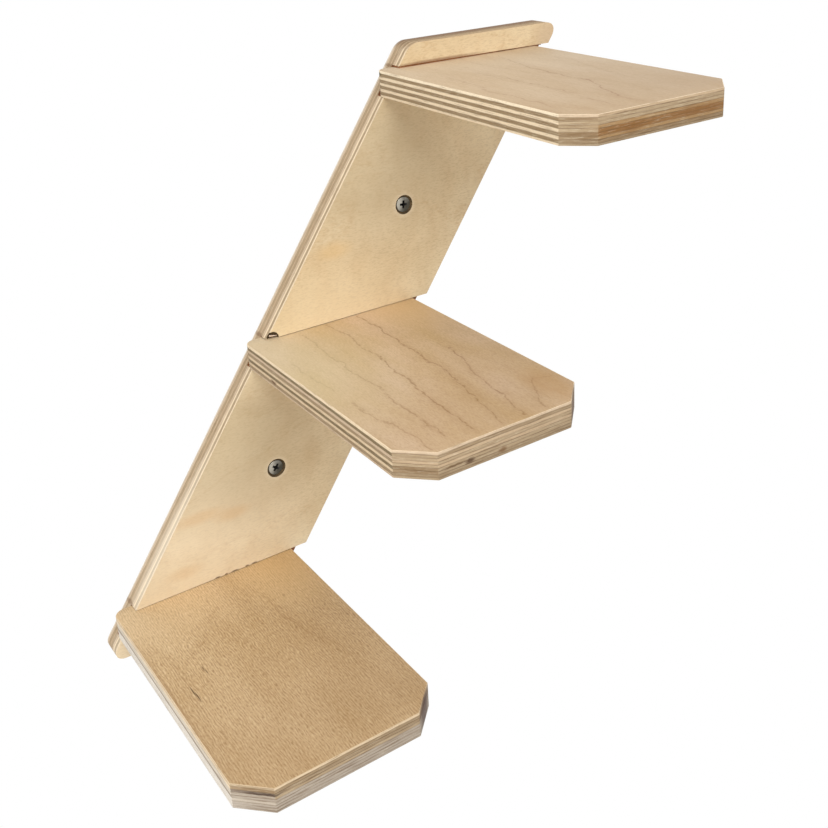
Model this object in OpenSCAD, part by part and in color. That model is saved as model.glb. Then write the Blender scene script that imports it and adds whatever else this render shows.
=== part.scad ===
// Wall-hung cat stairs: three plywood treads let into one leaning plywood board.
// The board stands against a wall in the plane Y = 0, the treads reach out along -Y,
// and the origin is on the axis of the upper wall screw, in the plane of the wall.

/* [Plywood] */
// Thickness of the sheet that the board and the treads are cut from
ply_t = 12; // [9:0.5:18]

/* [Back board] */
// Width of the board, square to its long edges
board_w = 73; // [60:0.5:110]
// Angle that the board leans over from the vertical
lean = 35; // [20:0.5:42]
// Height of the board above the top tread
board_above = 10.5; // [8:0.5:60]
// Height of the board below the underside of the bottom tread
board_below = 10.5; // [8:0.5:60]
// Radius of the two wide-angled corners of the board
blunt_corner_r = 8; // [2:0.5:16]
// Radius of the two narrow-angled corners of the board
sharp_corner_r = 4.5; // [2:0.5:5]

/* [Treads] */
// Height from one tread to the next
rise = 114; // [95:1:160]
// Length of a tread along the wall
tread_w = 90; // [75:1:140]
// How far a tread stands out from the front face of the board
tread_reach = 134; // [90:1:200]
// How far a tread's left end stands past the board's edge at the tread's top face
tread_overhang = 9; // [2:0.5:20]
// Size of the 45 degree cuts across the front corners
corner_cut = 12.5; // [4:0.5:30]
// Size of the cut at the top tread's left corner, which was cut smaller
top_left_cut = 10.5; // [4:0.5:30]
// Radius of the two rear corners
rear_corner_r = 5; // [1:0.5:6]

/* [Housings] */
// Depth of the groove across the board that holds a tread, as a share of the sheet
housing_share = 0.5; // [0.35:0.05:0.55]
// Play between a tread's top face and its groove
housing_play = 0.3; // [0.1:0.1:1.5]
// Play over the top tread at the left, where its groove was cut too high
top_play_left = 1; // [0.1:0.1:1.5]
// Play between a tread's rear edge and the floor of its groove
end_play = 0.2; // [0.1:0.1:1]

/* [Wall screws] */
// Height of the upper wall screw below the top face of the top tread
wall_screw_drop = 65; // [45:0.5:75]
// Height from one wall screw to the other
wall_screw_rise = 115.5; // [90:0.5:165]
// Outside diameter of the thread
wall_screw_d = 4; // [3.5:0.5:5.5]
// Diameter of the countersunk head
wall_screw_head_d = 7.5; // [6.5:0.1:10]
// Length from the top of the head to the point
wall_screw_len = 50; // [40:5:80]
// Depth of the head below the front face of the board
wall_screw_sink = 0.6; // [0.2:0.1:2]
// Diameter of the hole through the board
wall_hole_d = 4.5; // [4.25:0.25:6]

/* [Tread screws] */
// Outside diameter of the thread
tread_screw_d = 3.5; // [3:0.5:3.5]
// Diameter of the countersunk head
tread_screw_head_d = 7; // [5.5:0.1:8]
// Length from the top of the head to the point
tread_screw_len = 35; // [25:5:60]
// Depth of the head below the rear face of the board
tread_screw_sink = 0.5; // [0.2:0.1:1]
// Diameter of the hole through the board
tread_hole_d = 4; // [3.75:0.25:5]
// Distance between the two screws of a tread, as a share of the board's level width
tread_screw_share = 0.5; // [0.3:0.05:0.6]

/* [Screw form] */
// Play between a countersunk head and its seat, and round a thread in the wood
screw_play = 0.05; // [0.02:0.01:0.15]
// Height of the straight rim of a head
head_rim = 0.4; // [0.2:0.1:0.8]
// Diameter of the plain neck between head and thread, as a share of the thread's
neck_ratio = 0.74; // [0.65:0.01:0.85]
// Length of the point, in thread diameters
point_ratio = 1.2; // [0.8:0.1:2]
// Width across the arms of a driving cross, as a share of the head
cross_ratio = 0.52; // [0.4:0.02:0.6]
// Depth of a driving cross, as a share of the head
cross_depth_ratio = 0.26; // [0.15:0.01:0.3]

/* [Hidden] */

board_colour = "burlywood";
tread_colour = "wheat";
steel_colour = "silver";

// The treads are counted from the top, 0 to 2. Wall screw 0 is below tread 0, and 1 below tread 1.
tread_count = 3;

// Angle of each wall screw's cross, as the driver left it
upper_cross_angle = 5;
lower_cross_angle = 35;

half_w = board_w / 2 / cos(lean);              // half of the board's width, measured level
board_top = wall_screw_drop + board_above;
board_foot = wall_screw_drop - (tread_count - 1) * rise - ply_t - board_below;
groove_floor = -ply_t * (1 - housing_share);   // Y of the floor of the grooves
tread_back = groove_floor - end_play;          // Y of a tread's rear edge
tread_front = -(ply_t + tread_reach);
past = 1;                                      // how far a cutter runs past what it cuts
$fn = 64;

// X of the board's centre line, Z of a tread's top face and X of a tread's left end
function centre_x(z) = z * tan(lean);
function tread_z(i) = wall_screw_drop - i * rise;
function tread_x(i) = centre_x(tread_z(i)) - half_w - tread_overhang;

function wall_screw_z(i) = -i * wall_screw_rise;

// Both screws of a tread lie in its mid-thickness, evenly about the board's centre line
function tread_screw_z(i) = tread_z(i) - ply_t / 2;
function tread_screw_x(i, side) = centre_x(tread_screw_z(i)) + side * tread_screw_share * half_w;

// A convex outline with round corners. Each corner is [x, y, radius], anticlockwise.
// Each round one is an arc from one tangent point to the other, a square one is left alone.
function unit(v) = v / norm(v);
function corner_xy(c) = [c[0], c[1]];
function to_next(c, i) = unit(corner_xy(c[(i + 1) % len(c)]) - corner_xy(c[i]));
function to_last(c, i) = unit(corner_xy(c[(i + len(c) - 1) % len(c)]) - corner_xy(c[i]));
function half_angle(c, i) = acos(to_next(c, i) * to_last(c, i)) / 2;
function arc_centre(c, i) =
    corner_xy(c[i]) + unit(to_next(c, i) + to_last(c, i)) * c[i][2] / sin(half_angle(c, i));
function heading(v) = atan2(v[1], v[0]);
function arc_points(c, i) =
    let (sweep = 180 - 2 * half_angle(c, i), first = heading(to_last(c, i)) + 90, steps = ceil(sweep / 7))
        [for (k = [0 : steps]) let (a = first + sweep * k / steps)
            arc_centre(c, i) + c[i][2] * [cos(a), sin(a)]];

module round_cornered(c) {
    polygon([for (i = [0 : len(c) - 1])
        each c[i][2] > 0 ? arc_points(c, i) : [corner_xy(c[i])]]);
}

// Stands a flat outline in X and Z against the wall, reaching from Y = back to Y = front
module upright(back, front) {
    translate([0, back, 0]) rotate([90, 0, 0]) linear_extrude(back - front) children();
}

// Turns a shape made along +Z so that it points along +Y
module along_y() {
    rotate([-90, 0, 0]) children();
}

// The leaning board: a strip with level ends, wide-angled at the top left and the bottom right
module board_outline() {
    round_cornered([
        [centre_x(board_foot) - half_w, board_foot, sharp_corner_r],
        [centre_x(board_foot) + half_w, board_foot, blunt_corner_r],
        [centre_x(board_top) + half_w, board_top, sharp_corner_r],
        [centre_x(board_top) - half_w, board_top, blunt_corner_r]
    ]);
}

// A level groove right across the board. The tread's underside sits on its lower wall.
module housing(i) {
    z = tread_z(i);
    left = centre_x(z - ply_t) - half_w - past;
    right = centre_x(z) + half_w + past;
    play_left = i == 0 ? top_play_left : housing_play;
    upright(groove_floor, -ply_t - past)
        polygon([[left, z - ply_t], [right, z - ply_t], [right, z + housing_play], [left, z + play_left]]);
}

// A hole along +Z from the face at Z = 0, with a 90 degree seat that takes a head at depth sink
module screw_hole(hole_d, head_d, sink, depth) {
    mouth_r = head_d / 2 + screw_play + head_rim + sink + past;
    translate([0, 0, -past]) cylinder(h = depth + 2 * past, d = hole_d);
    translate([0, 0, -past]) cylinder(h = mouth_r, r1 = mouth_r, r2 = 0);
}

module back_board() {
    color(board_colour) difference() {
        upright(0, -ply_t) board_outline();
        for (i = [0 : tread_count - 1]) housing(i);
        for (i = [0 : tread_count - 2])
            translate([centre_x(wall_screw_z(i)), -ply_t, wall_screw_z(i)])
                along_y() screw_hole(wall_hole_d, wall_screw_head_d, wall_screw_sink, ply_t);
        for (i = [0 : tread_count - 1], side = [-1, 1])
            translate([tread_screw_x(i, side), 0, tread_screw_z(i)])
                rotate([180, 0, 0]) along_y()
                    screw_hole(tread_hole_d, tread_screw_head_d, tread_screw_sink, -groove_floor);
    }
}

// A tread with both front corners cut off and two pilot holes in its rear edge
module tread(i) {
    left_cut = i == 0 ? top_left_cut : corner_cut;
    color(tread_colour) difference() {
        translate([tread_x(i), 0, tread_z(i) - ply_t]) linear_extrude(ply_t)
            round_cornered([
                [0, tread_front + left_cut, 0],
                [left_cut, tread_front, 0],
                [tread_w - corner_cut, tread_front, 0],
                [tread_w, tread_front + corner_cut, 0],
                [tread_w, tread_back, rear_corner_r],
                [0, tread_back, rear_corner_r]
            ]);
        for (side = [-1, 1])
            translate([tread_screw_x(i, side), -tread_screw_sink - screw_play, tread_screw_z(i)])
                rotate([180, 0, 0]) along_y()
                    cylinder(h = tread_screw_len, d = tread_screw_d + 2 * screw_play);
    }
}

// A countersunk wood screw with the top of its head at Z = 0 and its point up: a straight rim,
// a 90 degree cone, a plain neck, the envelope of the thread from thread_start on, and a point
module wood_screw(d, head_d, length, thread_start, cross_angle) {
    head_r = head_d / 2;
    thread_r = d / 2;
    neck_r = thread_r * neck_ratio;
    difference() {
        rotate_extrude() polygon([
            [0, 0], [head_r, 0], [head_r, head_rim], [neck_r, head_rim + head_r - neck_r],
            [neck_r, thread_start - (thread_r - neck_r)], [thread_r, thread_start],
            [thread_r, length - point_ratio * d], [0, length]
        ]);
        rotate([0, 0, cross_angle]) driving_cross(cross_ratio * head_d, cross_depth_ratio * head_d);
    }
}

// Two blades crossed at a right angle, each tapering down to a flat bottom
module driving_cross(width, depth) {
    arm = width / 2;
    blade_t = width / 4;
    for (a = [0, 90]) rotate([90, 0, a]) linear_extrude(blade_t, center = true)
        polygon([[-arm, -past], [arm, -past], [arm, 0], [blade_t, depth], [-blade_t, depth], [-arm, 0]]);
}

// A wall screw goes in from the front, through the board and on into the wall
module wall_screw(i, cross_angle) {
    thread_start = ply_t - wall_screw_sink;
    color(steel_colour) translate([centre_x(wall_screw_z(i)), -thread_start, wall_screw_z(i)])
        along_y() wood_screw(wall_screw_d, wall_screw_head_d, wall_screw_len, thread_start, cross_angle);
}

// A tread's two screws go in from behind, through the floor of the groove into its rear edge
module tread_screws(i) {
    thread_start = -tread_back - tread_screw_sink;
    color(steel_colour) for (side = [-1, 1])
        translate([tread_screw_x(i, side), -tread_screw_sink, tread_screw_z(i)])
            rotate([180, 0, 0]) along_y()
                wood_screw(tread_screw_d, tread_screw_head_d, tread_screw_len, thread_start, 0);
}

module tread_top() { tread(0); }
module tread_middle() { tread(1); }
module tread_bottom() { tread(2); }
module wall_screw_upper() { wall_screw(0, upper_cross_angle); }
module wall_screw_lower() { wall_screw(1, lower_cross_angle); }
module tread_screws_top() { tread_screws(0); }
module tread_screws_middle() { tread_screws(1); }
module tread_screws_bottom() { tread_screws(2); }

back_board();
tread_top();
tread_middle();
tread_bottom();
wall_screw_upper();
wall_screw_lower();
tread_screws_top();
tread_screws_middle();
tread_screws_bottom();
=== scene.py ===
import math

import bmesh
import bpy
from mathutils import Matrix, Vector


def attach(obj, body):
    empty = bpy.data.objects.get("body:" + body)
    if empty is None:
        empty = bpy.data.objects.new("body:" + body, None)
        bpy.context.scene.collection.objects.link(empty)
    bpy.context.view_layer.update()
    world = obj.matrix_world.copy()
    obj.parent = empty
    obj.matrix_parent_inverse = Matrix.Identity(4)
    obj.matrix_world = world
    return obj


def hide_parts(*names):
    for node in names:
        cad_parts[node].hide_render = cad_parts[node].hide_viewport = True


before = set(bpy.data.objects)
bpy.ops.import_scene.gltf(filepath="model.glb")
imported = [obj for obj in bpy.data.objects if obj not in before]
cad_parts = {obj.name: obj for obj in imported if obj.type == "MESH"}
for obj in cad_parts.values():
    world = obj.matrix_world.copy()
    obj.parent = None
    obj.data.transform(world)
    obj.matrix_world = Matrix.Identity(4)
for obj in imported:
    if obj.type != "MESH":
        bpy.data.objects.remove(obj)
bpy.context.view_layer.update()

# The back board: a strip of 12 mm birch plywood that leans up to the right against the wall.
# It was sawn to a parallelogram with rounded corners, and three level grooves were cut half
# way through its front for the treads. Two countersunk holes take the wall screws.

MM = 0.001
Y, Z = 1, 2                 # the axes into the wall and up, by their place in a vector
TO_WALL, TO_ROOM = 1, -1    # the two ways along Y
PLY_T = 12.0                # the sheet
LEAN = math.radians(35)
BOARD_W = 73.0              # square to the long edges
HALF_W = BOARD_W / 2 / math.cos(LEAN)
SHARP_CORNER_R, BLUNT_CORNER_R = 4.5, 8.0
TOP_TREAD_Z = 65.0          # above the upper wall screw
RISE = 114.0                # from one tread to the next
TREAD_TOPS = [TOP_TREAD_Z - RISE * k for k in range(3)]
BOARD_PAST_TREADS = 10.5    # above the top tread and below the bottom one
BOARD_TOP = TREAD_TOPS[0] + BOARD_PAST_TREADS
BOARD_FOOT = TREAD_TOPS[2] - PLY_T - BOARD_PAST_TREADS
GROOVE_FLOOR = -6.0
GROOVE_PLAY = 0.3           # over a tread
GROOVE_OVERRUN = 20.0       # how far the cutter runs past the long edges
WEDGE = 0.7                 # how much too high the cutter ran at the left end of the top groove
WALL_SCREW_Z = [0.0, -115.5]
WALL_HOLE_R, WALL_SEAT_R = 2.25, 4.8
TREAD_HOLE_R, TREAD_SEAT_R = 2.0, 4.45
CLEAR = 1.0                 # how far a cutter starts outside the wood
ARRIS = 0.3                 # sharp edges rubbed down with sandpaper


def centre_x(z):
    """X of the board's centre line at height z."""
    return z * math.tan(LEAN)


def only(piece):
    """Deselects all, then selects the piece and makes it the active one."""
    bpy.ops.object.select_all(action="DESELECT")
    piece.select_set(True)
    bpy.context.view_layer.objects.active = piece


def place_in_mesh(name):
    """Names the new primitive and puts its place, turn and scale in its mesh."""
    piece = bpy.context.object
    piece.name = piece.data.name = name
    bpy.ops.object.transform_apply(location=True, rotation=True, scale=True)
    return piece


def block(name, low, high):
    """A cube primitive from one corner to the other, in millimetres."""
    bpy.ops.object.select_all(action="DESELECT")
    low, high = Vector(low) * MM, Vector(high) * MM
    bpy.ops.mesh.primitive_cube_add(size=1, location=(low + high) / 2, scale=high - low)
    return place_in_mesh(name)


def select(piece, mode, test):
    """Opens the piece in edit mode with only the parts that pass the test selected."""
    only(piece)
    bpy.ops.object.mode_set(mode="EDIT")
    bpy.ops.mesh.select_mode(type=mode)
    bpy.ops.mesh.select_all(action="DESELECT")
    mesh = bmesh.from_edit_mesh(piece.data)
    for part in {"VERT": mesh.verts, "EDGE": mesh.edges, "FACE": mesh.faces}[mode]:
        part.select_set(test(part))
    mesh.select_flush_mode()
    bmesh.update_edit_mesh(piece.data)


def done():
    """Leaves edit mode."""
    bpy.ops.object.mode_set(mode="OBJECT")


def cut_corner(piece, along, at, offset, segments):
    """Bevels the edge that runs along an axis through a point, in millimetres."""
    across = [k for k in range(3) if k != along]

    def runs_there(edge):
        a, b = (v.co / MM for v in edge.verts)
        return all(abs(a[k] - at[k]) < 0.1 and abs(b[k] - at[k]) < 0.1 for k in across)
    select(piece, "EDGE", runs_there)
    bpy.ops.mesh.bevel(offset=offset * MM, offset_type="OFFSET", segments=segments, profile=0.5)
    done()


def round_cutter(at, r1, r2, depth, way):
    """A cone or cylinder along Y, from radius r1 at a point to r2 at a depth, in millimetres."""
    bpy.ops.object.select_all(action="DESELECT")
    middle = Vector(at) + Vector((0, way * depth / 2, 0))
    bpy.ops.mesh.primitive_cone_add(vertices=64, radius1=r1 * MM, radius2=r2 * MM, depth=depth * MM,
                                    location=middle * MM, rotation=(-way * math.pi / 2, 0, 0))
    return place_in_mesh("cutter")


def cut(piece, cutter):
    """Takes the cutter out of the piece and throws the cutter away."""
    only(piece)
    hole = piece.modifiers.new("cut", "BOOLEAN")
    hole.operation, hole.solver, hole.object = "DIFFERENCE", "EXACT", cutter
    bpy.ops.object.modifier_apply(modifier=hole.name)
    bpy.data.objects.remove(cutter)


def countersunk_hole(piece, at, way, hole_r, mouth_r):
    """A hole right through from a point, with a 90 degree seat whose mouth has the radius mouth_r."""
    outside = Vector(at) - Vector((0, way * CLEAR, 0))
    cut(piece, round_cutter(outside, hole_r, hole_r, PLY_T + 2 * CLEAR, way))
    cut(piece, round_cutter(outside, mouth_r + CLEAR, 0, mouth_r + CLEAR, way))


def tread_screw_places(top, y):
    """Where a tread's two screws go: at its mid-thickness, a quarter of the board from each edge."""
    z = top - PLY_T / 2
    return [(centre_x(z) + side * HALF_W / 2, y, z) for side in (-1, 1)]


def soften(piece):
    """Rubs down every sharp edge and smooths what is round."""
    only(piece)
    arris = piece.modifiers.new("arris", "BEVEL")
    arris.width, arris.segments = ARRIS * MM, 2
    arris.limit_method, arris.angle_limit = "ANGLE", math.radians(40)
    bpy.ops.object.modifier_apply(modifier=arris.name)
    bpy.ops.object.shade_smooth_by_angle(angle=math.radians(30))


def join(piece, *others):
    """Joins the others to the piece, which keeps its name."""
    only(piece)
    for other in others:
        other.select_set(True)
    bpy.ops.object.join()


board = block("birch_board", (centre_x(BOARD_FOOT) - HALF_W, -PLY_T, BOARD_FOOT),
              (centre_x(BOARD_FOOT) + HALF_W, 0, BOARD_TOP))
select(board, "VERT", lambda v: v.co.z > 0)
bpy.ops.transform.translate(value=((BOARD_TOP - BOARD_FOOT) * math.tan(LEAN) * MM, 0, 0))
done()
SHARP, BLUNT = math.pi / 2 - LEAN, math.pi / 2 + LEAN
for side, z, angle, radius, steps in (
        (-1, BOARD_FOOT, SHARP, SHARP_CORNER_R, 14), (1, BOARD_FOOT, BLUNT, BLUNT_CORNER_R, 8),
        (1, BOARD_TOP, SHARP, SHARP_CORNER_R, 14), (-1, BOARD_TOP, BLUNT, BLUNT_CORNER_R, 8)):
    cut_corner(board, Y, (centre_x(z) + side * HALF_W, 0, z), radius / math.tan(angle / 2), steps)
for top in TREAD_TOPS:
    left = centre_x(top) - HALF_W - GROOVE_OVERRUN
    right = centre_x(top) + HALF_W + GROOVE_OVERRUN
    groove = block("cutter", (left, -PLY_T - CLEAR, top - PLY_T), (right, GROOVE_FLOOR, top + GROOVE_PLAY))
    if top == TOP_TREAD_Z:
        select(groove, "VERT", lambda v: v.co.z > top * MM and v.co.x < centre_x(top) * MM)
        bpy.ops.transform.translate(value=(0, 0, WEDGE * MM))
        done()
    cut(board, groove)
for z in WALL_SCREW_Z:
    countersunk_hole(board, (centre_x(z), -PLY_T, z), TO_WALL, WALL_HOLE_R, WALL_SEAT_R)
for top in TREAD_TOPS:
    for place in tread_screw_places(top, 0):
        countersunk_hole(board, place, TO_ROOM, TREAD_HOLE_R, TREAD_SEAT_R)

# A chip broke out of the left edge above the middle tread, before the edges were rubbed down.
CHIP = Vector((-75.6, -12.3, -48.4))
CHIP_SIZE = Vector((3.3, 2.6, 3.1))
bpy.ops.object.select_all(action="DESELECT")
bpy.ops.mesh.primitive_ico_sphere_add(subdivisions=2, radius=1, location=CHIP * MM,
                                      rotation=(0, math.radians(12), 0), scale=CHIP_SIZE * MM)
cut(board, place_in_mesh("cutter"))
soften(board)

# A splinter still hangs in the chip.
SPLINTER_LENGTH, SPLINTER_ROOT_R, SPLINTER_TIP_R = 3.6, 0.55, 0.12
SPLINTER_MIDDLE = Vector((-75.0, -11.3, -47.6))
bpy.ops.object.select_all(action="DESELECT")
bpy.ops.mesh.primitive_cone_add(vertices=5, radius1=SPLINTER_ROOT_R * MM, radius2=SPLINTER_TIP_R * MM,
                                depth=SPLINTER_LENGTH * MM, location=SPLINTER_MIDDLE * MM,
                                rotation=(0, math.radians(97), math.radians(-6)))
splinter = place_in_mesh("splinter")
select(splinter, "FACE", lambda face: face.normal.x < -0.9)
bpy.ops.transform.resize(value=(1, 1.3, 0.7))
done()

# Glue stands in the gap over the top tread, a little back from the board's face and sides.
GLUE_FRONT = -PLY_T + 0.5
GLUE_BACK = GROOVE_FLOOR - 0.3
GLUE_LEFT = centre_x(TOP_TREAD_Z) - HALF_W + 1
GLUE_RIGHT = centre_x(TOP_TREAD_Z) + HALF_W - 4
GLUE_FILLS = 0.93           # the share of the wedge that it fills
glue = block("glue", (GLUE_LEFT, GLUE_FRONT, TOP_TREAD_Z + 0.02),
             (GLUE_RIGHT, GLUE_BACK, TOP_TREAD_Z + GROOVE_PLAY))
select(glue, "VERT", lambda v: v.co.z > (TOP_TREAD_Z + 0.1) * MM and v.co.x < centre_x(TOP_TREAD_Z) * MM)
bpy.ops.transform.translate(value=(0, 0, GLUE_FILLS * WEDGE * MM))
done()
join(board, splinter, glue)


def linear(colour):
    """An sRGB hex colour as linear red, green, blue and alpha."""
    parts = [int(colour[k:k + 2], 16) / 255 for k in (1, 3, 5)]
    return tuple(p / 12.92 if p <= 0.04045 else ((p + 0.055) / 1.055) ** 2.4 for p in parts) + (1,)


def add(tree, kind, settings=None, *values, named=None, out=None):
    """Adds a node with its settings, and gives one of its outputs. The values and links go to
    its sockets in their order, or by name. stops fill a ramp with (position, colour)."""
    made = tree.nodes.new("ShaderNode" + kind)
    for key, value in (settings or {}).items():
        if key == "stops":
            for place, colour in value[1:-1]:
                made.color_ramp.elements.new(place)
            for element, (place, colour) in zip(made.color_ramp.elements, value):
                element.position, element.color = place, colour
        else:
            setattr(made, key, value)
    pairs = list(zip([s for s in made.inputs if s.enabled], values))
    pairs += [(made.inputs[key], value) for key, value in (named or {}).items()]
    for socket, value in pairs:
        if isinstance(value, bpy.types.NodeSocket):
            tree.links.new(value, socket)
        elif value is not None:
            socket.default_value = value
    return made.outputs[out] if out else next((s for s in made.outputs if s.enabled), None)


COLOUR = {"data_type": "RGBA"}


def new_material(name):
    """An empty material for nodes."""
    material = bpy.data.materials.new(name)
    material.use_nodes = True
    material.node_tree.nodes.clear()
    return material


def millimetres(tree):
    """The place on the object, in millimetres."""
    return add(tree, "VectorMath", {"operation": "SCALE"}, add(tree, "TexCoord", out="Object"), 1000.0)


def grains(tree, place, size, seed=0.0, detail=2.0, rough=0.5):
    """Cloudy noise from 0 to 1 whose grains are as long along X, Y and Z as size says, in mm."""
    moved = add(tree, "Mapping", {}, place, (seed, seed * 0.7, seed * 1.3), None, [1 / s for s in size])
    return add(tree, "TexNoise", {}, moved, 1.0, detail, rough)


def mark(tree, under, place, at, size, colour, strength):
    """A soft-edged mark on wood or metal, in mm: a knot, a tear, a rubbed place, painted light or
    painted shade. It is whole up to 0.4 of its size from its middle, and gone at 1.1."""
    away = add(tree, "VectorMath", {"operation": "SUBTRACT"}, place, at)
    away = add(tree, "VectorMath", {"operation": "DIVIDE"}, away, size)
    away = add(tree, "VectorMath", {"operation": "LENGTH"}, away, out="Value")
    amount = add(tree, "MapRange", {}, away, 0.4, 1.1, strength, 0.0)
    return add(tree, "Mix", COLOUR, amount, under, linear(colour))


# Birch plies, by the tone that sawing and sanding left. Those cut along the grain are pale and
# smooth, those cut across it drink in the dust and look darker.
TONES = {
    "cream": "#F0DDBE", "pale": "#E6D0AF", "sand": "#D6BE9C", "fawn": "#C8B093", "tan": "#BAA080",
    "drab": "#A89172", "taupe": "#988163", "olive": "#7A684A", "brown": "#8C7252", "umber": "#937C5C",
    "rust": "#8A6236", "honey": "#A07E54", "ash": "#DACDBA", "white": "#E6DDD0",
    "grey": "#BAAC9A", "smoke": "#A89A8A", "bark": "#6C5A4C",
}
FACE_PLY = 1.1              # the two sanded face plies
PLY = 1.4                   # each of the seven plies between them
PLY_WAVE = 0.7              # how far a ply wanders up and down
SOFT_EDGE = 0.12            # where one ply's tone goes over into the next


def ply_edge(name, through, offset, turned, turned_from, stretch, tones, marks=(), seed=0.0, streak=0.38):
    """Sawn and sanded plywood edge: nine plies with thin glue lines between them, streaked along
    the sheet. through is the axis across the sheet. The tones are three lists of nine: the last is
    for edges that look along the axis turned, the first for those that look furthest from it,
    where the square of the cosine is turned_from, and the second for those half way."""
    material = new_material(name)
    tree = material.node_tree
    place = millimetres(tree)
    wave = grains(tree, place, [14 * s for s in stretch], seed + 3)
    depth = add(tree, "VectorMath", {"operation": "DOT_PRODUCT"}, place, through, out="Value")
    depth = add(tree, "Math", {"operation": "ADD"}, depth, offset - PLY_WAVE / 2)
    depth = add(tree, "Math", {"operation": "MULTIPLY_ADD"}, wave, PLY_WAVE, depth)
    share = add(tree, "Math", {"operation": "DIVIDE"}, depth, PLY_T)
    starts = [0.0] + [(FACE_PLY + PLY * k) / PLY_T for k in range(8)]
    ends = starts[1:] + [1.0]
    soft = SOFT_EDGE / PLY_T
    layers = []
    for names in tones:
        stops = []
        for start, end, tone in zip(starts, ends, names.split()):
            stops += [(start + soft, linear(TONES[tone])), (end - soft, linear(TONES[tone]))]
        layers.append(add(tree, "ValToRGB", {"stops": stops}, share))
    facing = add(tree, "VectorMath", {"operation": "DOT_PRODUCT"},
                 add(tree, "TexCoord", out="Normal"), turned, out="Value")
    facing = add(tree, "Math", {"operation": "MULTIPLY"}, facing, facing)
    half = (1 + turned_from) / 2
    to_angled = add(tree, "MapRange", {}, facing, turned_from, half)
    to_end = add(tree, "MapRange", {}, facing, half, 1.0)
    colour = add(tree, "Mix", COLOUR, to_angled, layers[0], layers[1])
    colour = add(tree, "Mix", COLOUR, to_end, colour, layers[2])
    streaks = grains(tree, place, stretch, seed, 3.0, 0.6)
    hairs = grains(tree, place, [0.45 * s for s in stretch], seed + 9, 2.0, 0.6)
    flecks = grains(tree, place, (0.9, 0.9, 0.9), seed + 17, 2.0, 0.7)
    for pattern, low, high, strength, tone in (
            (streaks, 0.52, 0.72, streak, "#6B4E30"), (hairs, 0.45, 0.25, 0.3, "#FBF0D6"),
            (flecks, 0.55, 0.8, 0.35, "#8C7350")):
        colour = add(tree, "Mix", COLOUR, add(tree, "MapRange", {}, pattern, low, high, 0.0, strength),
                     colour, linear(tone))
    glue = add(tree, "Math", {"operation": "SUBTRACT"}, depth, FACE_PLY - PLY / 2)
    glue = add(tree, "Math", {"operation": "PINGPONG"}, glue, PLY / 2)
    glue = add(tree, "MapRange", {}, glue, PLY / 2 - 0.3, PLY / 2 - 0.08)
    glue = add(tree, "Math", {"operation": "MULTIPLY"}, glue, add(tree, "MapRange", {}, streaks, 0.3, 0.55))
    glue = add(tree, "Math", {"operation": "MULTIPLY"}, glue, add(
        tree, "MapRange", {}, facing, turned_from, 1.0, 0.3, 0.62))
    colour = add(tree, "Mix", COLOUR, glue, colour, linear("#5E472C"))
    ragged = add(tree, "TexNoise", {}, place, 0.35, 2.0, out="Color")
    ragged = add(tree, "VectorMath", {"operation": "MULTIPLY_ADD"}, ragged, (1.6, 1.6, 1.6), place)
    for at, size, tone, strength in marks:
        colour = mark(tree, colour, ragged, [a + 0.8 for a in at], size, tone, strength)
    height = add(tree, "Mix", {}, 0.5, streaks, flecks)
    bump = add(tree, "Bump", {}, 0.35, 0.0003, named={"Height": height})
    shader = add(tree, "BsdfPrincipled", {}, named={
        "Base Color": colour, "Roughness": 0.72, "Normal": bump, "Specular IOR Level": 0.35})
    add(tree, "OutputMaterial", {}, shader)
    return material


def growth_line(tree, under, wobbled, gaps, start, end, colour, strength):
    """One thin broken growth line from a point to another, in mm, with a faint band beside it."""
    start, run = Vector(start), Vector(end) - Vector(start)
    from_start = add(tree, "VectorMath", {"operation": "SUBTRACT"}, wobbled, start)
    along = add(tree, "VectorMath", {"operation": "DOT_PRODUCT"}, from_start, run / run.length_squared,
                out="Value")
    along = add(tree, "Math", {"operation": "ADD", "use_clamp": True}, along, 0.0)
    foot = add(tree, "VectorMath", {"operation": "SCALE"}, run, along)
    away = add(tree, "VectorMath", {"operation": "SUBTRACT"}, from_start, foot)
    away = add(tree, "VectorMath", {"operation": "LENGTH"}, away, out="Value")
    thin = add(tree, "MapRange", {}, away, 0.15, 0.65, strength, 0.0)
    thin = add(tree, "Math", {"operation": "MULTIPLY"}, thin, gaps)
    band = add(tree, "MapRange", {}, away, 0.5, 4.5, 0.16 * strength, 0.0)
    amount = add(tree, "Math", {"operation": "MAXIMUM"}, thin, band)
    return add(tree, "Mix", COLOUR, amount, under, linear(colour))


PORE_ROWS = 1.1             # between the rows of open pores in a coarse veneer


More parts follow.
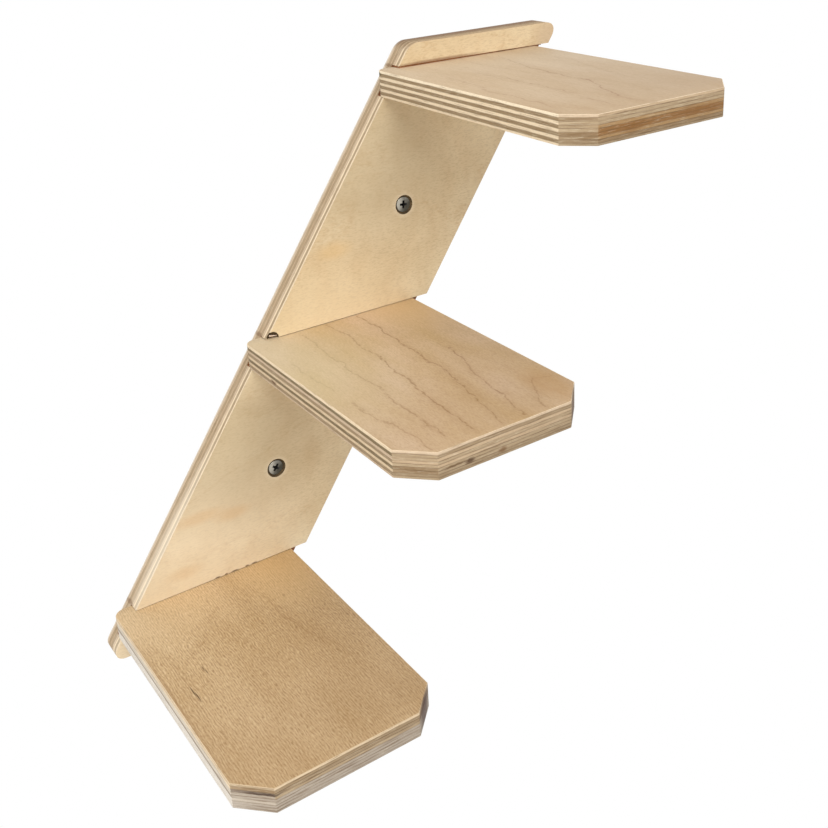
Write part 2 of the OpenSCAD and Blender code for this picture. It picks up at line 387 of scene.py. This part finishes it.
def birch_face(name, turn, light, dark, line, spacing, line_strength, pore, marks=(), lines=(), seed=0.0,
               cloud=(22.0, 60.0, 22.0), flame=0.0, fibre=0.14, furrow=0.0):
    """Sanded rotary-cut birch veneer: soft clouds of tone, thin broken growth lines that wander
    along the grain, and short fine pores, drawn wider than the real tenth of a millimetre so that
    they show. turn turns the wood so that its grain runs along Y. furrow is the strength of the
    open pores of a coarse veneer, which stand in broken rows."""
    material = new_material(name)
    tree = material.node_tree
    place = millimetres(tree)
    wood = add(tree, "Mapping", {}, place, None, turn)
    clouds = add(tree, "MapRange", {}, grains(tree, wood, cloud, seed, 3.0), 0.32, 0.68)
    colour = add(tree, "Mix", COLOUR, clouds, linear(dark), linear(light))
    drift = grains(tree, wood, (34.0, 120.0, 34.0), seed + 5, 2.5, 0.45)
    shake = grains(tree, wood, (4.0, 8.0, 4.0), seed + 7)
    sideways = add(tree, "SeparateXYZ", {}, wood, out="X")
    across = add(tree, "Math", {"operation": "DIVIDE"}, sideways, spacing)
    across = add(tree, "Math", {"operation": "MULTIPLY_ADD"}, drift, 3.0, across)
    across = add(tree, "Math", {"operation": "MULTIPLY_ADD"}, shake, 0.22, across)
    thin = add(tree, "Math", {"operation": "PINGPONG"}, across, 0.5)
    thin = add(tree, "MapRange", {}, thin, 0.014, 0.045, 1.0, 0.0)
    gaps = add(tree, "MapRange", {}, grains(tree, wood, (1.5, 3.0, 1.5), seed + 13, 2.0, 0.6), 0.42, 0.62)
    thin = add(tree, "Math", {"operation": "MULTIPLY"}, thin, gaps)
    late = add(tree, "Math", {"operation": "POWER"}, add(tree, "Math", {"operation": "FRACT"}, across), 3.0)
    rings = add(tree, "Math", {"operation": "MULTIPLY_ADD"}, late, 0.28, thin)
    rings = add(tree, "Math", {"operation": "MULTIPLY", "use_clamp": True}, rings, line_strength)
    colour = add(tree, "Mix", COLOUR, rings, colour, linear(line))
    fibres = grains(tree, wood, (0.8, 9.0, 0.8), seed + 11)
    pores = grains(tree, wood, (0.45, 1.8, 0.45), seed + 19, 1.0)
    ribs = grains(tree, wood, (16.0, 7.0, 16.0), seed + 23, 1.5)
    for pattern, low, high, strength, tone in (
            (fibres, 0.5, 0.7, fibre, "#9C7A50"), (pores, 0.54, 0.64, pore, "#7A5731"),
            (pores, 0.44, 0.34, 0.5 * pore, "#FBEBCB"), (ribs, 0.45, 0.7, flame, line)):
        colour = add(tree, "Mix", COLOUR, add(tree, "MapRange", {}, pattern, low, high, 0.0, strength),
                     colour, linear(tone))
    if furrow:
        rows = add(tree, "Math", {"operation": "DIVIDE"}, sideways, PORE_ROWS)
        sway = grains(tree, wood, (2.5, 7.0, 2.5), seed + 37)
        rows = add(tree, "Math", {"operation": "MULTIPLY_ADD"}, sway, 2.5, rows)
        rows = add(tree, "Math", {"operation": "PINGPONG"}, rows, 0.5)
        dashes = grains(tree, wood, (0.8, 2.2, 0.8), seed + 41)
        for low, high, opened, strength, tone in (
                (0.24, 0.08, (0.42, 0.58), furrow, "#7A5731"),
                (0.3, 0.44, (0.58, 0.42), 0.6 * furrow, "#F3DDB4")):
            amount = add(tree, "Math", {"operation": "MULTIPLY"}, add(tree, "MapRange", {}, rows, low, high),
                         add(tree, "MapRange", {}, dashes, *opened, 0.0, strength))
            colour = add(tree, "Mix", COLOUR, amount, colour, linear(tone))
    if lines:
        wobble = grains(tree, wood, (9.0, 13.0, 9.0), seed + 29, 4.0, 0.6)
        wobbled = add(tree, "VectorMath", {"operation": "MULTIPLY_ADD"}, wobble, (9, 0, 0), place)
        wobbled = add(tree, "VectorMath", {"operation": "SUBTRACT"}, wobbled, (4.5, 0, 0))
        broken = grains(tree, wood, (1.2, 2.6, 1.2), seed + 31)
        broken = add(tree, "MapRange", {}, broken, 0.36, 0.52, 0.3, 1.0)
        for start, end, strength in lines:
            colour = growth_line(tree, colour, wobbled, broken, start, end, line, strength)
    for at, size, tone, strength in marks:
        colour = mark(tree, colour, place, at, size, tone, strength)
    height = add(tree, "Mix", {}, 0.6, fibres, pores)
    bump = add(tree, "Bump", {"invert": True}, 0.25, 0.0002, named={"Height": height})
    shader = add(tree, "BsdfPrincipled", {}, named={
        "Base Color": colour, "Roughness": 0.6, "Normal": bump, "Specular IOR Level": 0.4})
    add(tree, "OutputMaterial", {}, shader)
    return material


def veneer_and_edges(piece, axis, *materials):
    """Gives a piece its materials: the first, the veneer, goes on the faces that look along an
    axis, and the second on all others."""
    for material in materials:
        piece.data.materials.append(material)
    for face in piece.data.polygons:
        face.material_index = 0 if abs(face.normal[axis]) > 0.99 else 1


# Sanded birch, grain level across the board: nearly white-gold, with faint soft flames. The marks
# are painted shade under the top and middle treads, painted light at the feet of the spans over the
# middle and bottom treads, amber streaks, painted shade at the right end of the strip above the top
# tread, a pale ring round each wall screw, a painted shadow along the seam over the top groove, and
# dashes of glue over the bottom one.
MARK_DEPTH = 4.0            # less than the sheet, so a mark on one face doesn't show on the other
BOARD_MARKS = [
    # Painted shade under the top and middle treads, at the upper left of each span.
    ((-22, 24), (50, 45), "#A89676", 0.5), ((-104, -96), (50, 48), "#A89676", 0.5),
    # Painted light at the feet of the spans, bounced off the middle and bottom treads.
    ((-50, -52), (60, 34), "#FAE6BE", 0.3), ((-135, -162), (75, 60), "#FAECD2", 0.35),
    ((-40, -14), (11, 5), "#E2B66E", 0.25), ((-122, -127), (15, 4), "#CFA066", 0.3),
    ((-106, -131), (11, 4), "#CFA066", 0.3), ((-133, -153), (10, 4), "#CFA066", 0.25),
    # Painted shade at the right end of the strip above the top tread.
    ((93, 69), (14, 12), "#B08E6E", 0.5)] + [
    ((centre_x(z), z), (6.5, 6.5), "#F6E6CA", 0.45) for z in WALL_SCREW_Z] + [
    # A painted shadow along the seam over the top groove, widening its dark line.
    ((22, TREAD_TOPS[0] + 1), (30, 1.1), "#7A4A2C", 0.65)] + [
    ((x, TREAD_TOPS[2] + 0.5), (wide, 0.55), "#5A3A1C", 0.8)
    for x, wide in ((-117.5, 1.6), (-113, 1), (-108.5, 2.2), (-102, 1.2), (-98, 1.8))]
board_face = birch_face(
    "board_birch_veneer_sanded", (0, 0, math.radians(90)), "#E4CFAA", "#D4BC94", "#B98F5A", 30.0, 0.22, 0.14,
    seed=2.0, cloud=(30.0, 45.0, 30.0), flame=0.14, fibre=0.08, marks=[
        ((x, -PLY_T, z), (wide, MARK_DEPTH, high), tone, strength)
        for (x, z), (wide, high), tone, strength in BOARD_MARKS])
board_edge = ply_edge(
    "board_plywood_edge_sawn", (0, 1, 0), PLY_T, (0, 0, 1), 0.33, (9.0, 0.6, 9.0), (
        "pale drab pale fawn drab tan drab fawn ash",
        "fawn drab fawn taupe tan taupe tan drab grey",
        "tan taupe tan brown drab brown drab brown smoke"), [
            # Painted light on the left edge near the foot, bounced off the bottom tread.
            ((-128, -9.5, -150), (60, 7, 60), "#F6E8D0", 0.45),
            ((52, -1, 76), (75, 6, 4), "#6A4428", 0.55),
            ((52, -10.5, 76), (75, 4, 4), "#BE9E72", 0.4)] + [
            # Painted shadow in the gap on the board's left edge, just above each tread's rear.
            ((centre_x(top) - HALF_W, -3.5, top + 0.5), (4, 4.5, 1.1), "#6A4A30", 0.55)
            for top in TREAD_TOPS], seed=1.0)


def painted_shade_wood(name, dark, light):
    """Dull, dark, blotchy wood that paints the shade in grooves, screw seats and the chip's rim."""
    material = new_material(name)
    tree = material.node_tree
    scorch = add(tree, "MapRange", {}, grains(tree, millimetres(tree), (3.0, 1.0, 1.0)), 0.35, 0.65)
    scorch = add(tree, "Mix", COLOUR, scorch, linear(dark), linear(light))
    shader = add(tree, "BsdfPrincipled", {}, named={"Base Color": scorch, "Roughness": 0.8})
    add(tree, "OutputMaterial", {}, shader)
    return material


# Torn birch in the chip: pale fresh fibres, left rough.
torn = new_material("torn_birch")
tree = torn.node_tree
fibres = add(tree, "MapRange", {}, grains(tree, millimetres(tree), (2.0, 0.3, 0.3)), 0.3, 0.7)
fibres = add(tree, "Mix", COLOUR, fibres, linear("#D9B594"), linear("#F7E4D2"))
shader = add(tree, "BsdfPrincipled", {}, named={"Base Color": fibres, "Roughness": 0.7})
add(tree, "OutputMaterial", {}, shader)

# Dark colours that paint the shade inside the grooves, the wall screws' seats and the chip's rim.
groove_shade_wood = painted_shade_wood("groove_painted_in_shade", "#84532E", "#A5704A")
seat_and_chip_rim_shade_wood = painted_shade_wood("screw_seat_and_chip_rim_painted_in_shade", "#3A2C14", "#5C4828")
veneer_and_edges(board, Y, board_face, board_edge, groove_shade_wood, seat_and_chip_rim_shade_wood, torn)
GROOVE, SEAT, TORN = 2, 3, 4
NEAR = 0.05
# The grooves and the seats of the wall screws are painted dark as shade. The chip is torn and pale
# in the middle, with painted shade round its rim.
for face in board.data.polygons:
    x, y, z = face.center / MM
    from_chip = Vector([(c / MM - m) / r for c, m, r in zip(face.center, CHIP, CHIP_SIZE)]).length
    level = any(top - PLY_T - NEAR < z < top + GROOVE_PLAY + WEDGE + NEAR for top in TREAD_TOPS)
    if from_chip < 0.85:
        face.material_index = TORN
    elif from_chip < 1.08 and y > -PLY_T + NEAR and face.area < 3 * MM * MM:
        face.material_index = SEAT
    elif level and -PLY_T + ARRIS < y < -1 and max(abs(n) for n in face.normal) > 0.99:
        face.material_index = GROOVE
    elif y < -ARRIS and abs(face.normal[Y]) < 0.9 and any(
            math.hypot(x - centre_x(s), z - s) < WALL_SEAT_R for s in WALL_SCREW_Z):
        face.material_index = SEAT
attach(board, "root")
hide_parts("back_board")

# The three treads: rectangles of the same plywood, with both front corners sawn off at 45
# degrees. Each is pushed into its groove and held by glue and two screws from behind.

TREAD_NAMES = ("top", "middle", "bottom")
TREAD_W, TREAD_REACH, TREAD_OVERHANG = 90.0, 134.0, 9.0
TREAD_BACK_PLAY = 0.2       # behind a tread, in its groove
TREAD_BACK = GROOVE_FLOOR - TREAD_BACK_PLAY
TREAD_FRONT = -PLY_T - TREAD_REACH
CORNER_CUT, TOP_LEFT_CUT, REAR_CORNER_R = 12.5, 10.5, 5.0
TREAD_SCREW = dict(d=3.5, head_d=7.0, length=35.0, pitch=1.8)
TREAD_SCREW_SINK = 0.5      # of its head, into the rear face of the board
SCREW_PLAY = 0.05           # round the thread, in its pilot hole

# Each tread's own piece of veneer. The bottom one is from a coarse sheet.
FACES = {
    "top": dict(light="#CCB698", dark="#C0A684", line="#8C6444", spacing=15.0, line_strength=0.14,
                pore=0.1, seed=4.0),
    "middle": dict(light="#CDB292", dark="#BD9F73", line="#80592A", spacing=16.0, line_strength=0.1,
                   pore=0.16, seed=8.0),
    "bottom": dict(light="#C8AB82", dark="#B7986D", line="#8F6A3E", spacing=24.0, line_strength=0.16,
                   pore=0.14, seed=15.0, fibre=0.12, furrow=0.5),
}
# The growth lines that stand out: where each starts, then its bends with its strength up to there.
GROWTH_LINES = {
    "top": (
        ((52.7, -19.8), (43.5, -53.2, 0.3), (42.6, -94.5, 0.5), (29.6, -128.3, 0.55), (30.7, -141, 0.3)),
        ((20.2, -48.2), (20.6, -75.1, 0.35), (21.3, -110.3, 0.35)),
        ((4.9, -47.5), (-0.3, -86.3, 0.3), (-0.3, -127.4, 0.35)),
        ((18.3, -121.8), (18.7, -142, 0.3))),
    "middle": (
        ((-62, -17), (-64, -75, 0.5), (-66, -137, 0.55)),
        ((-46.5, -12), (-48.5, -60, 0.5), (-54.6, -140, 0.65)),
        ((-31, -14), (-33, -91, 0.6), (-42.6, -143, 0.6)),
        ((-17.5, -72), (-24.5, -100, 0.6), (-32.5, -143, 0.6)),
        ((-82, -42), (-80, -78, 0.4)),
        ((-81, -91), (-76, -116, 0.45), (-75.6, -143, 0.45)),
        ((-10, -120), (-21.6, -143, 0.5)),
        ((-10, -120), (-1, -123, 0.35))),
    "bottom": (
        ((-128, -32), (-143, -52, 0.35), (-152, -59, 0.35)),
        ((-108, -28), (-104, -60, 0.4), (-99, -84, 0.45))),
}
# Every tread has painted shade towards its front. The middle one has a knot, a pale stretch and
# painted light at its rear right, and the bottom one has two tears in its veneer, a dark left edge
# and painted light at its rear left and rear right.
FACE_MARKS = {
    # The wide mark at the front of each tread is painted shade.
    "top": (((37, -152), (150, 85), "#8E7052", 0.28),),
    "middle": (
        ((-7, -128), (10, 19), "#B88A48", 0.35),
        ((-92, -40), (52, 85), "#D2C6A2", 0.35),
        # Painted light at the rear right.
        ((2, -10), (36, 44), "#EAC896", 0.4),
        ((-43, -152), (150, 85), "#8E6C48", 0.28)),
    "bottom": (
        ((-149.5, -67.8), (0.3, 2.4), "#4A3016", 0.7),
        ((-149.0, -70.4), (0.3, 2.4), "#4A3016", 0.7),
        ((-158.7, -78.6), (0.32, 4.2), "#3E2810", 0.9),
        ((-158.2, -82.8), (0.32, 4.2), "#3E2810", 0.9),
        # Painted light at the rear left.
        ((-152, -18), (40, 32), "#E8CCA2", 0.25),
        ((-168.8, -80), (3.0, 70), "#8C6844", 0.55),
        # Painted light at the rear right.
        ((-80, -10), (38, 48), "#E6C28C", 0.45),
        ((-123, -152), (150, 85), "#86643E", 0.3)),
}
# Along each tread's side, its sawn-off corner and its front: the tones of the nine plies from the
# top down, then the strength of the streaks, and the knots, stains, burnt places and painted shade.
RIGHT_CUT_SHADE = (9, 9, 11)      # reach of the painted shade on a right front corner, which faces away from the light
EDGES = {
    "top": (("cream umber pale umber pale umber pale umber pale",
             "fawn taupe drab drab drab brown brown taupe taupe",
             "tan drab drab honey rust rust honey brown taupe"), 0.55, (
                 # Painted shade under the gap at the left end of the top groove.
                 ((-8.1, -9.3, 63.6), (3, 2.4, 0.9), "#4A4626", 0.8),
                 ((20, TREAD_FRONT, 57.5), (9, 5, 2.2), "#7A5020", 0.5),
                 ((55, TREAD_FRONT, 58.5), (16, 5, 2.4), "#7E5426", 0.45))),
    "middle": (("pale olive fawn taupe sand olive sand taupe fawn",
                "fawn drab drab tan drab brown brown taupe drab",
                "fawn taupe tan drab tan drab drab taupe taupe"), 0.45, (
                    ((-60.9, TREAD_FRONT, -57.6), (2.6, 4, 1.3), "#4A2E16", 0.85),
                    ((-68, TREAD_FRONT, -57.0), (6, 4, 0.7), "#5E4224", 0.7),
                    ((-45.4, TREAD_FRONT, -58.2), (2.4, 4, 1.3), "#6E4A26", 0.7),
                    ((-87.9, -34.8, -58.4), (1.6, 3, 0.9), "#5A3A1C", 0.8),
                    ((-4.1, -139.7, -55), RIGHT_CUT_SHADE, "#5E4C46", 0.75))),
    "bottom": (("sand pale ash ash smoke white white white white",
                "drab brown bark smoke smoke grey smoke smoke smoke",
                "sand taupe taupe drab smoke smoke smoke smoke smoke"), 0.6, (
                    ((-158, -143, -166.4), (9, 9, 0.7), "#3A2A20", 0.7),
                    ((-83.9, -139.7, -169), RIGHT_CUT_SHADE, "#4E362C", 0.8))),
}


def bent_lines(chains, z):
    """The straight parts of bent growth lines on a level face, each from a point to another."""
    pieces = []
    for start, *bends in chains:
        for x, y, strength in bends:
            pieces.append(((*start, z), (x, y, z), strength))
            start = (x, y)
    return pieces


for number, (name, top) in enumerate(zip(TREAD_NAMES, TREAD_TOPS)):
    left = centre_x(top) - HALF_W - TREAD_OVERHANG
    right = left + TREAD_W
    tread = block(f"birch_tread_{name}", (left, TREAD_FRONT, top - PLY_T), (right, TREAD_BACK, top))
    cut_corner(tread, Z, (left, TREAD_FRONT, 0), TOP_LEFT_CUT if name == "top" else CORNER_CUT, 1)
    cut_corner(tread, Z, (right, TREAD_FRONT, 0), CORNER_CUT, 1)
    for x in (left, right):
        cut_corner(tread, Z, (x, TREAD_BACK, 0), REAR_CORNER_R, 8)
    pilot_r = TREAD_SCREW["d"] / 2 + SCREW_PLAY
    for place in tread_screw_places(top, -TREAD_SCREW_SINK - SCREW_PLAY):
        cut(tread, round_cutter(place, pilot_r, pilot_r, TREAD_SCREW["length"], TO_ROOM))
    soften(tread)
    face_marks = [((x, y, top), (wide, long, MARK_DEPTH), tone, strength)
                  for (x, y), (wide, long), tone, strength in FACE_MARKS[name]]
    tread_face = birch_face(f"{name}_tread_birch_veneer_sanded", (0, 0, 0), **FACES[name],
                            lines=bent_lines(GROWTH_LINES[name], top), marks=face_marks)
    tones, streak, edge_marks = EDGES[name]
    tread_edge = ply_edge(f"{name}_tread_plywood_edge_sawn", (0, 0, -1), top, (0, 1, 0), 0.0,
                          (11.0, 11.0, 0.5), tones, edge_marks, seed=3.0 * number + 2, streak=streak)
    veneer_and_edges(tread, Z, tread_face, tread_edge)
    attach(tread, "root")
    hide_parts(f"tread_{name}")

# The eight wood screws: cold-headed steel with a rolled thread, a gimlet point and a driving
# cross, zinc plated to a dull grey. Two hold the board to the wall, and each tread has two that
# come from behind, through the floor of the groove into its rear edge.

# Shares of the thread's diameter: the bare neck and the core across, and the point along.
NECK_RATIO, CORE_RATIO, POINT_RATIO = 0.74, 0.66, 1.2
# Shares of the head's diameter: the cross from end to end, and its depth.
CROSS_RATIO, CROSS_DEPTH_RATIO = 0.52, 0.26
# Shares of an arm of the cross: half a blade's thickness, and the well's radius, wide and narrow.
HALF_BLADE_RATIO, WELL_TOP_RATIO, WELL_FOOT_RATIO = 1 / 3.4, 0.52, 0.15
HEAD_RIM, HEAD_ROUND = 0.4, 0.12    # the straight rim, and the rounding of its edge
NECK_RUNOUT = 0.4           # where the neck goes over into the core
THREAD_START = 0.5          # above the end of the neck
THREAD_SHORT = 2.4          # how far the thread stops short of the tip
BLADE_PROUD = 0.01          # above the head, so that the cross is cut open
POINT_TAPER = -0.94         # -1 would end in a needle

# Cloudy zinc. On each wall screw's head a painted dark reflection lies at the lower right, and a
# painted highlight at the left.
zinc = new_material("zinc_plated_steel")
tree = zinc.node_tree
place = millimetres(tree)
film = add(tree, "MapRange", {}, grains(tree, place, (1.2, 1.2, 1.2), 1.0, 3.0), 0.3, 0.7)
plating_and_painted_reflection = add(tree, "Mix", COLOUR, film, linear("#7A766C"), linear("#A29E94"))
for z in WALL_SCREW_Z:
    plating_and_painted_reflection = mark(tree, plating_and_painted_reflection, place, (centre_x(z) + 3, -PLY_T, z - 2.5), (6.5, 4, 6.5), "#3C372B", 0.85)
    plating_and_painted_reflection = mark(tree, plating_and_painted_reflection, place, (centre_x(z) - 3, -PLY_T, z + 1), (3.5, 4, 4), "#D2CCBC", 0.6)
rough = add(tree, "MapRange", {}, film, 0.0, 1.0, 0.32, 0.46)
shader = add(tree, "BsdfPrincipled", {}, named={"Base Color": plating_and_painted_reflection, "Metallic": 1.0, "Roughness": rough})
add(tree, "OutputMaterial", {}, shader)
# Deep in the cross no light gets out again, so the recess is painted almost black as shade.
recess_shade = new_material("cross_recess_painted_shade")
tree = recess_shade.node_tree
shader = add(tree, "BsdfPrincipled", {}, named={"Base Color": linear("#15130F"), "Roughness": 0.5})
add(tree, "OutputMaterial", {}, shader)


def face_outwards(piece):
    """Turns the faces of a closed piece outwards."""
    only(piece)
    bpy.ops.object.mode_set(mode="EDIT")
    bpy.ops.mesh.select_all(action="SELECT")
    bpy.ops.mesh.normals_make_consistent(inside=False)
    done()


def wood_screw(name, d, head_d, length, pitch, thread_from, turn):
    """One screw along Z with its point up, in millimetres. Z = 0 is where the point begins."""
    head = POINT_RATIO * d - length
    neck, core = d / 2 * NECK_RATIO, d / 2 * CORE_RATIO
    cone_end = head + HEAD_RIM + head_d / 2 - neck
    r, z = head_d / 2 - HEAD_ROUND, head
    bpy.ops.object.select_all(action="DESELECT")
    bpy.ops.mesh.primitive_circle_add(vertices=48, radius=r * MM, fill_type="NGON", location=(0, 0, z * MM))
    screw = place_in_mesh(name)
    select(screw, "FACE", lambda face: True)
    for next_r, next_z in (
            (head_d / 2, head + HEAD_ROUND), (head_d / 2, head + HEAD_RIM), (neck, cone_end),
            (neck, head + thread_from - NECK_RUNOUT), (core, head + thread_from), (core, 0.0),
            (core, POINT_RATIO * d / 2), (core, POINT_RATIO * d)):
        bpy.ops.mesh.extrude_region_move(TRANSFORM_OT_translate={"value": (0, 0, (next_z - z) * MM)})
        bpy.ops.transform.resize(value=(next_r / r, next_r / r, 1))
        r, z = next_r, next_z
    done()
    # The thread is a small diamond wound round the core, closed at both ends.
    bpy.ops.object.select_all(action="DESELECT")
    bpy.ops.mesh.primitive_circle_add(vertices=4, radius=(d / 2 - core) * MM, rotation=(math.pi / 2, 0, 0),
                                      location=(core * MM, 0, (head + thread_from + THREAD_START) * MM))
    thread = place_in_mesh("thread")
    select(thread, "VERT", lambda vert: True)
    bpy.ops.transform.resize(value=(1, 1, 0.5))
    done()
    wind = thread.modifiers.new("wind", "SCREW")
    wind.axis, wind.screw_offset = "Z", pitch * MM
    wind.iterations = int((length - thread_from - THREAD_SHORT) / pitch)
    wind.steps = wind.render_steps = 24
    bpy.ops.object.modifier_apply(modifier=wind.name)
    select(thread, "VERT", lambda vert: True)
    bpy.ops.mesh.fill_holes(sides=4)
    done()
    face_outwards(thread)
    face_outwards(screw)
    # Two crossed blades that narrow downwards press the cross, with a round well between them.
    arm, depth = CROSS_RATIO * head_d / 2, CROSS_DEPTH_RATIO * head_d
    half_blade = arm * HALF_BLADE_RATIO
    for quarter in (0, math.pi / 2):
        blade = block("blade", (-arm, -half_blade, head - BLADE_PROUD), (arm, half_blade, head + depth))
        select(blade, "FACE", lambda face: face.normal.z > 0.9)
        bpy.ops.transform.resize(value=(0.45, 0.6, 1))
        done()
        blade.rotation_euler = (0, 0, turn + quarter)
        place_in_mesh("blade")
        cut(screw, blade)
    bpy.ops.object.select_all(action="DESELECT")
    well_z = head + depth / 2 - BLADE_PROUD
    bpy.ops.mesh.primitive_cone_add(vertices=24, radius1=arm * WELL_TOP_RATIO * MM,
                                    radius2=arm * WELL_FOOT_RATIO * MM, depth=depth * MM,
                                    location=(0, 0, well_z * MM))
    cut(screw, place_in_mesh("well"))
    screw.data.materials.append(zinc)
    screw.data.materials.append(recess_shade)
    # The faces of the cross and its well take the painted shade.
    for face in screw.data.polygons:
        x, y, z = face.center / MM
        if math.hypot(x, y) < arm * 1.02 and head + 0.03 < z < head + depth + 0.1:
            face.material_index = 1
    join(screw, thread)
    point = screw.modifiers.new("point", "SIMPLE_DEFORM")
    point.deform_method, point.deform_axis, point.factor = "TAPER", "Z", POINT_TAPER
    point.limits = (-head / length, 1)
    bpy.ops.object.modifier_apply(modifier=point.name)
    bpy.ops.object.shade_smooth_by_angle(angle=math.radians(35))
    return screw


def drive(screw, size, at, way):
    """Points the screw to the wall or to the room, with the face of its head at a point, in mm."""
    x, y, z = at
    only(screw)
    screw.rotation_euler = (-way * math.pi / 2, 0, 0)
    screw.location = Vector((x, y + way * (size["length"] - POINT_RATIO * size["d"]), z)) * MM
    bpy.ops.object.transform_apply(location=True, rotation=True, scale=True)


WALL_SCREW = dict(d=4.0, head_d=7.5, length=50.0, pitch=2.0)
WALL_SCREW_SINK = 0.6       # of its head, into the front face of the board
for where, z, turn in zip(("upper", "lower"), WALL_SCREW_Z, (5, 35)):
    screw = wood_screw(f"wall_screw_{where}_steel", **WALL_SCREW, thread_from=PLY_T - WALL_SCREW_SINK,
                       turn=math.radians(turn))
    drive(screw, WALL_SCREW, (centre_x(z), -PLY_T + WALL_SCREW_SINK, z), TO_WALL)
    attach(screw, "root")
    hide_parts(f"wall_screw_{where}")

for name, top in zip(TREAD_NAMES, TREAD_TOPS):
    pair = []
    for place in tread_screw_places(top, -TREAD_SCREW_SINK):
        screw = wood_screw(f"tread_screws_{name}_steel", **TREAD_SCREW,
                           thread_from=-TREAD_BACK - TREAD_SCREW_SINK, turn=0.0)
        drive(screw, TREAD_SCREW, place, TO_ROOM)
        pair.append(screw)
    join(*pair)
    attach(pair[0], "root")
    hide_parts(f"tread_screws_{name}")

# The stage: a sheet of white paper, far enough below for the part's shadow to be soft, in a white
# room. It is evenly white to the camera and in what the screws mirror.

FLOOR_Z = -0.55


def bright_where_seen(tree, plain, bright):
    """The plain shader, with the bright one in its place for the camera and for reflections."""
    seen = add(tree, "Math", {"operation": "MAXIMUM"}, add(tree, "LightPath", out="Is Camera Ray"),
               add(tree, "LightPath", out="Is Glossy Ray"))
    return add(tree, "MixShader", {}, seen, plain, bright)


bpy.ops.object.select_all(action="DESELECT")
bpy.ops.mesh.primitive_plane_add(size=12, location=(0, 0, FLOOR_Z))
floor = place_in_mesh("floor")
white = new_material("white_paper")
tree = white.node_tree
paper = add(tree, "BsdfDiffuse", {}, linear("#F4F4F2"))
glow = add(tree, "Emission", {}, (1, 1, 1, 1), 1.0)
add(tree, "OutputMaterial", {}, bright_where_seen(tree, paper, glow))
floor.data.materials.append(white)

world = bpy.data.worlds.new("studio")
bpy.context.scene.world = world
world.use_nodes = True
tree = world.node_tree
tree.nodes.clear()
room = add(tree, "Background", {}, (1, 1, 1, 1), 0.52)
sheet = add(tree, "Background", {}, (1, 1, 1, 1), 1.0)
add(tree, "OutputWorld", {}, bright_where_seen(tree, room, sheet))

PART_MIDDLE = Vector((-0.04, -0.07, -0.06))


def area_lamp(name, at, size, watts):
    """A square lamp that shines at the middle of the part, in metres."""
    lamp = bpy.data.lights.new(name, "AREA")
    lamp.shape, lamp.size, lamp.energy = "SQUARE", size, watts
    stand = bpy.data.objects.new(name, lamp)
    bpy.context.scene.collection.objects.link(stand)
    stand.location = at
    stand.rotation_euler = (PART_MIDDLE - Vector(at)).to_track_quat("-Z", "Y").to_euler()


area_lamp("ceiling", (-0.35, -1.58, 1.75), 2.0, 47)
area_lamp("window", (-1.5, -0.5, 0.3), 1.0, 8)

# The camera stands where the photograph was taken from: to the left and a little above.

camera = bpy.data.cameras.new("camera")
stand = bpy.data.objects.new("camera", camera)
bpy.context.scene.collection.objects.link(stand)
stand.location = (-0.27396, -0.44922, 0.15871)
stand.rotation_euler = [math.radians(a) for a in (67.9932, 2.5021, -34.4898)]
camera.lens = 48.645
camera.shift_x, camera.shift_y = -0.0252, -0.1391
camera.clip_start = 0.01
bpy.context.scene.camera = stand

bpy.context.scene.view_settings.view_transform = "Standard"
